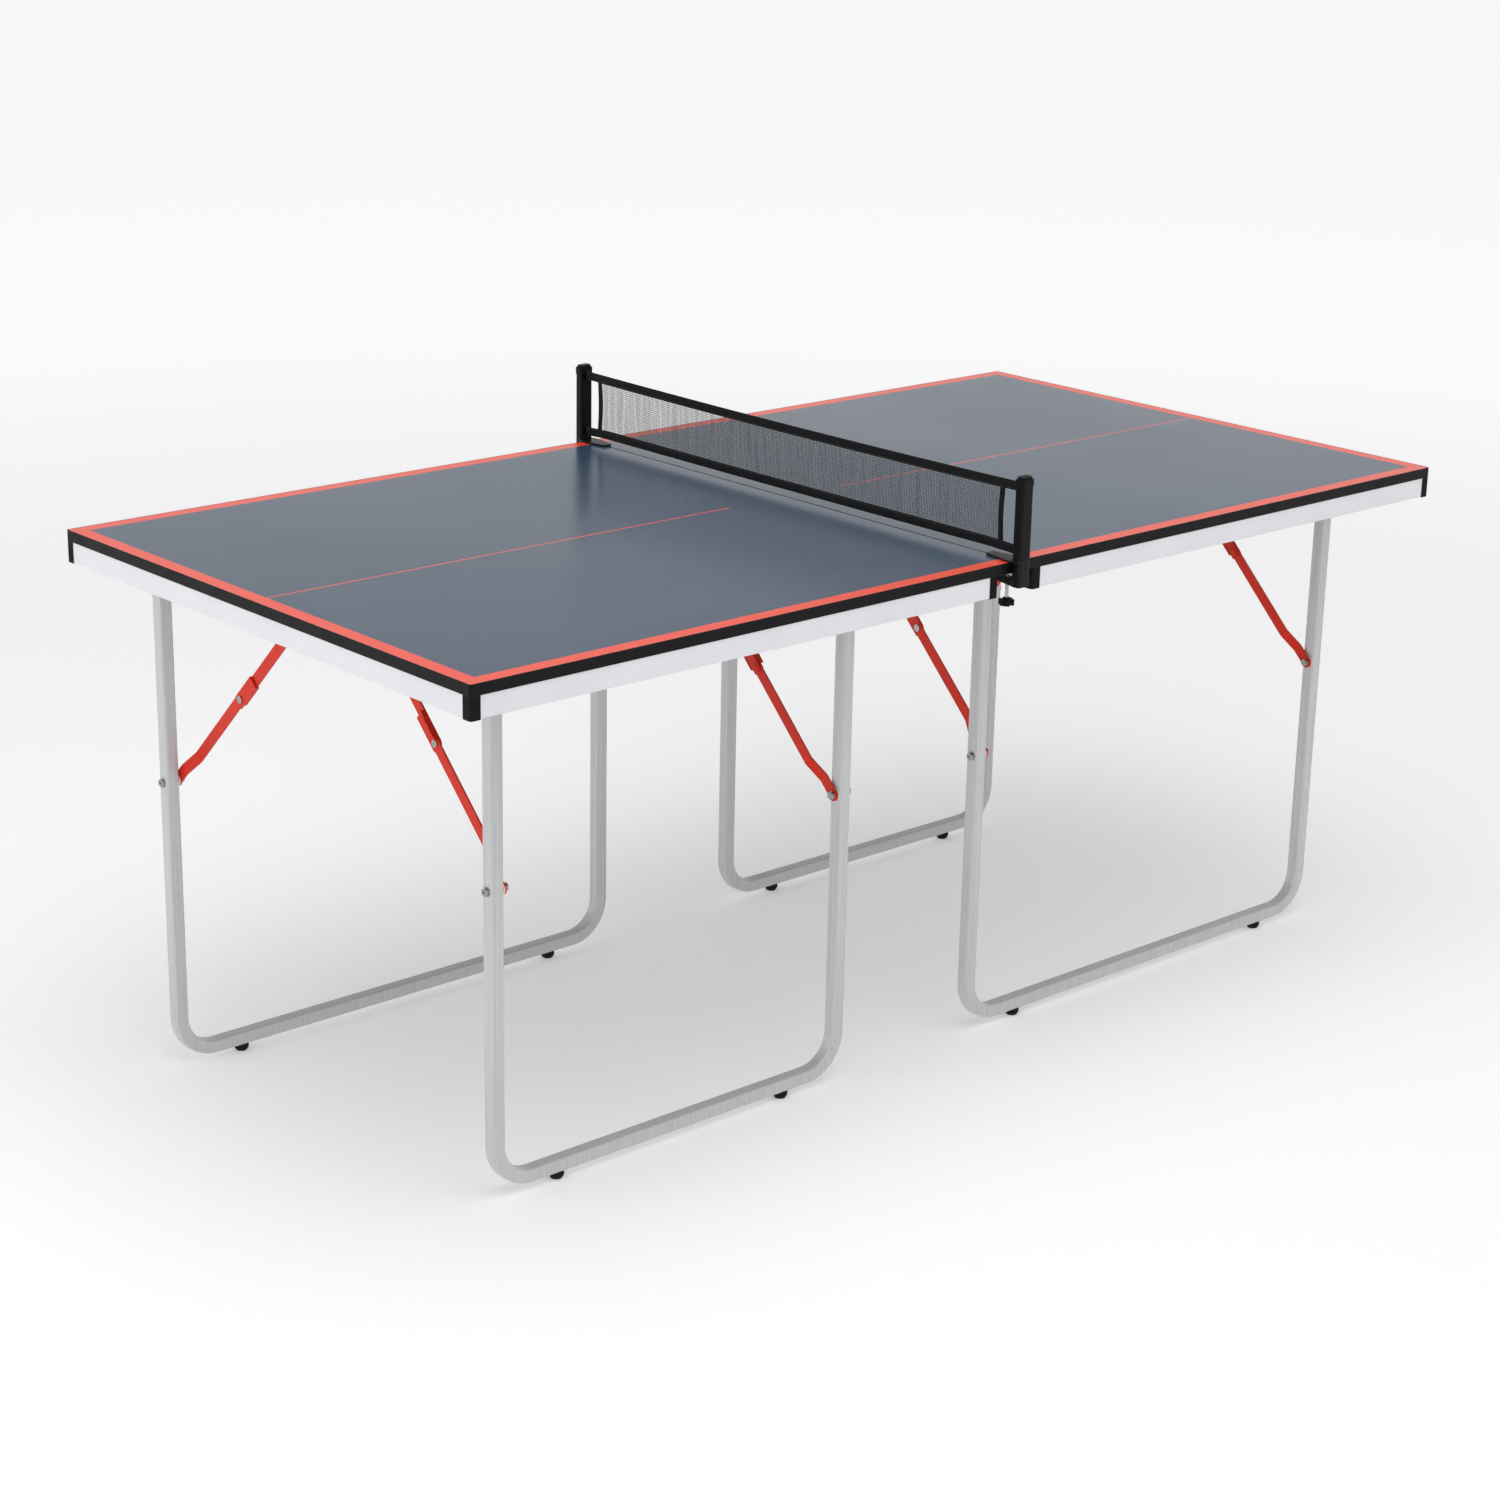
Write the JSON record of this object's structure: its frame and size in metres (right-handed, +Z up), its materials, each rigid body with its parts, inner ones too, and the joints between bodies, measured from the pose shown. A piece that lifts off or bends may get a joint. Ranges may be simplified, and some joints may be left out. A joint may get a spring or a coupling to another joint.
{
  "type": "ping pong table",
  "caption": "Compact ping pong table in separate halves with folding braced leg frames, a steel apron and a clamp-on net",
  "frame": {"origin": "centre of the table on the floor", "axes": "+X along the table, across the net; +Y along the net; +Z up"},
  "size_m": [1.82, 0.9476, 0.878],
  "materials": {
    "board": "satin painted",
    "band": "satin",
    "rail": "satin",
    "cap": "fine moulded grain",
    "zinc": "bright zinc plate",
    "leg_paint": "satin silver grey",
    "foot_rubber": "matt",
    "spacer": "satin",
    "brace_paint": "gloss powder coat",
    "clamp_paint": "satin",
    "post": "fine moulded grain",
    "tape": "woven tape",
    "mesh": "fine knotted mesh",
    "knob": "moulded",
    "pad": "matt"
  },
  "bodies": {
    "left_half": {"top_board_left": "board", "edge_band_left": "band", "side_rails_left": "rail", "end_rail_left": "rail", "net_rail_left": "rail", "corner_caps_left": "cap", "hinge_brackets_left": "zinc", "brace_brackets_left": "zinc", "pivot_pins_left": "zinc"},
    "right_half": {"top_board_right": "board", "edge_band_right": "band", "side_rails_right": "rail", "end_rail_right": "rail", "net_rail_right": "rail", "corner_caps_right": "cap", "hinge_brackets_right": "zinc", "brace_brackets_right": "zinc", "pivot_pins_right": "zinc"},
    "narrow_legs_left": {"narrow_leg_frame_left": "leg_paint", "narrow_feet_left": "foot_rubber", "narrow_brace_bolts_left": "zinc", "narrow_spacers_left": "spacer"},
    "narrow_upper_braces_left": {"narrow_upper_links_left": "brace_paint"},
    "narrow_lower_braces_left": {"narrow_lower_links_left": "brace_paint", "narrow_knuckle_rivets_left": "zinc"},
    "wide_legs_left": {"wide_leg_frame_left": "leg_paint", "wide_feet_left": "foot_rubber", "wide_brace_bolts_left": "zinc", "wide_spacers_left": "spacer"},
    "wide_upper_braces_left": {"wide_upper_links_left": "brace_paint"},
    "wide_lower_braces_left": {"wide_lower_links_left": "brace_paint", "wide_knuckle_rivets_left": "zinc"},
    "narrow_legs_right": {"narrow_leg_frame_right": "leg_paint", "narrow_feet_right": "foot_rubber", "narrow_brace_bolts_right": "zinc", "narrow_spacers_right": "spacer"},
    "narrow_upper_braces_right": {"narrow_upper_links_right": "brace_paint"},
    "narrow_lower_braces_right": {"narrow_lower_links_right": "brace_paint", "narrow_knuckle_rivets_right": "zinc"},
    "wide_legs_right": {"wide_leg_frame_right": "leg_paint", "wide_feet_right": "foot_rubber", "wide_brace_bolts_right": "zinc", "wide_spacers_right": "spacer"},
    "wide_upper_braces_right": {"wide_upper_links_right": "brace_paint"},
    "wide_lower_braces_right": {"wide_lower_links_right": "brace_paint", "wide_knuckle_rivets_right": "zinc"},
    "near_clamp": {"near_clamp_bracket": "clamp_paint", "near_post": "post", "near_post_cap": "cap"},
    "near_pad": {"near_clamp_pad": "pad"},
    "near_screw": {"near_clamp_screw": "zinc", "near_clamp_knob": "knob"},
    "far_clamp": {"far_clamp_bracket": "clamp_paint", "far_post": "post", "far_post_cap": "cap"},
    "far_pad": {"far_clamp_pad": "pad"},
    "far_screw": {"far_clamp_screw": "zinc", "far_clamp_knob": "knob"},
    "net": {"net_tapes": "tape", "net_mesh": "mesh"}
  },
  "joints": [
    {"name": "right_half_apart", "type": "slide", "parent": "left_half", "child": "right_half", "axis": [1, 0, 0], "range_m": [0, 0.3]},
    {"name": "narrow_fold_left", "type": "hinge", "parent": "left_half", "child": "narrow_legs_left", "pos_m": [-0.4655, -0.305, 0.727], "axis": [1, 0, 0], "range_deg": [0, 90]},
    {"name": "narrow_upper_brace_left", "type": "hinge", "parent": "left_half", "child": "narrow_upper_braces_left", "pos_m": [-0.4655, -0.005, 0.727], "axis": [1, 0, 0], "range_deg": [0, 135.01]},
    {"name": "narrow_lower_brace_left", "type": "hinge", "parent": "narrow_legs_left", "child": "narrow_lower_braces_left", "pos_m": [-0.4655, -0.305, 0.427], "axis": [-1, 0, 0], "range_deg": [0, 135.01]},
    {"name": "wide_fold_left", "type": "hinge", "parent": "left_half", "child": "wide_legs_left", "pos_m": [-0.4775, 0.305, 0.727], "axis": [-1, 0, 0], "range_deg": [0, 52]},
    {"name": "wide_upper_brace_left", "type": "hinge", "parent": "left_half", "child": "wide_upper_braces_left", "pos_m": [-0.4775, 0.005, 0.727], "axis": [-1, 0, 0], "range_deg": [0, 88.6]},
    {"name": "wide_lower_brace_left", "type": "hinge", "parent": "wide_legs_left", "child": "wide_lower_braces_left", "pos_m": [-0.4775, 0.305, 0.427], "axis": [1, 0, 0], "range_deg": [0, 88.6]},
    {"name": "narrow_fold_right", "type": "hinge", "parent": "right_half", "child": "narrow_legs_right", "pos_m": [0.4655, 0.305, 0.727], "axis": [-1, 0, 0], "range_deg": [0, 90]},
    {"name": "narrow_upper_brace_right", "type": "hinge", "parent": "right_half", "child": "narrow_upper_braces_right", "pos_m": [0.4655, 0.005, 0.727], "axis": [-1, 0, 0], "range_deg": [0, 135.01]},
    {"name": "narrow_lower_brace_right", "type": "hinge", "parent": "narrow_legs_right", "child": "narrow_lower_braces_right", "pos_m": [0.4655, 0.305, 0.427], "axis": [1, 0, 0], "range_deg": [0, 135.01]},
    {"name": "wide_fold_right", "type": "hinge", "parent": "right_half", "child": "wide_legs_right", "pos_m": [0.4775, -0.305, 0.727], "axis": [1, 0, 0], "range_deg": [0, 52]},
    {"name": "wide_upper_brace_right", "type": "hinge", "parent": "right_half", "child": "wide_upper_braces_right", "pos_m": [0.4775, -0.005, 0.727], "axis": [1, 0, 0], "range_deg": [0, 88.6]},
    {"name": "wide_lower_brace_right", "type": "hinge", "parent": "wide_legs_right", "child": "wide_lower_braces_right", "pos_m": [0.4775, -0.305, 0.427], "axis": [-1, 0, 0], "range_deg": [0, 88.6]},
    {"name": "near_clamp_off", "type": "slide", "parent": "left_half", "child": "near_clamp", "axis": [0, -1, 0], "range_m": [0, 0.06]},
    {"name": "near_pad_travel", "type": "slide", "parent": "near_clamp", "child": "near_pad", "axis": [0, 0, -1], "range_m": [0, 0.006]},
    {"name": "near_screw_turn", "type": "hinge", "parent": "near_pad", "child": "near_screw", "pos_m": [0, -0.442, 0.68], "axis": [0, 0, 1], "range_deg": [0, 1440.1]},
    {"name": "far_clamp_off", "type": "slide", "parent": "left_half", "child": "far_clamp", "axis": [0, 1, 0], "range_m": [0, 0.06]},
    {"name": "far_pad_travel", "type": "slide", "parent": "far_clamp", "child": "far_pad", "axis": [0, 0, -1], "range_m": [0, 0.006]},
    {"name": "far_screw_turn", "type": "hinge", "parent": "far_pad", "child": "far_screw", "pos_m": [0, 0.442, 0.68], "axis": [0, 0, 1], "range_deg": [0, 1440.1]},
    {"name": "net_off", "type": "slide", "parent": "left_half", "child": "net", "axis": [0, 0, 1], "range_m": [0, 0.16]}
  ],
  "couplings": [
    {"joint": "narrow_upper_brace_left", "follows": "narrow_fold_left", "ratio": 1.5},
    {"joint": "narrow_lower_brace_left", "follows": "narrow_fold_left", "ratio": 1.5},
    {"joint": "wide_upper_brace_left", "follows": "wide_fold_left", "ratio": 1.7036},
    {"joint": "wide_lower_brace_left", "follows": "wide_fold_left", "ratio": 1.7036},
    {"joint": "narrow_upper_brace_right", "follows": "narrow_fold_right", "ratio": 1.5},
    {"joint": "narrow_lower_brace_right", "follows": "narrow_fold_right", "ratio": 1.5},
    {"joint": "wide_upper_brace_right", "follows": "wide_fold_right", "ratio": 1.7036},
    {"joint": "wide_lower_brace_right", "follows": "wide_fold_right", "ratio": 1.7036},
    {"joint": "near_screw_turn", "follows": "near_pad_travel", "rad_per_m": 4188.8},
    {"joint": "far_screw_turn", "follows": "far_pad_travel", "rad_per_m": 4188.8}
  ]
}
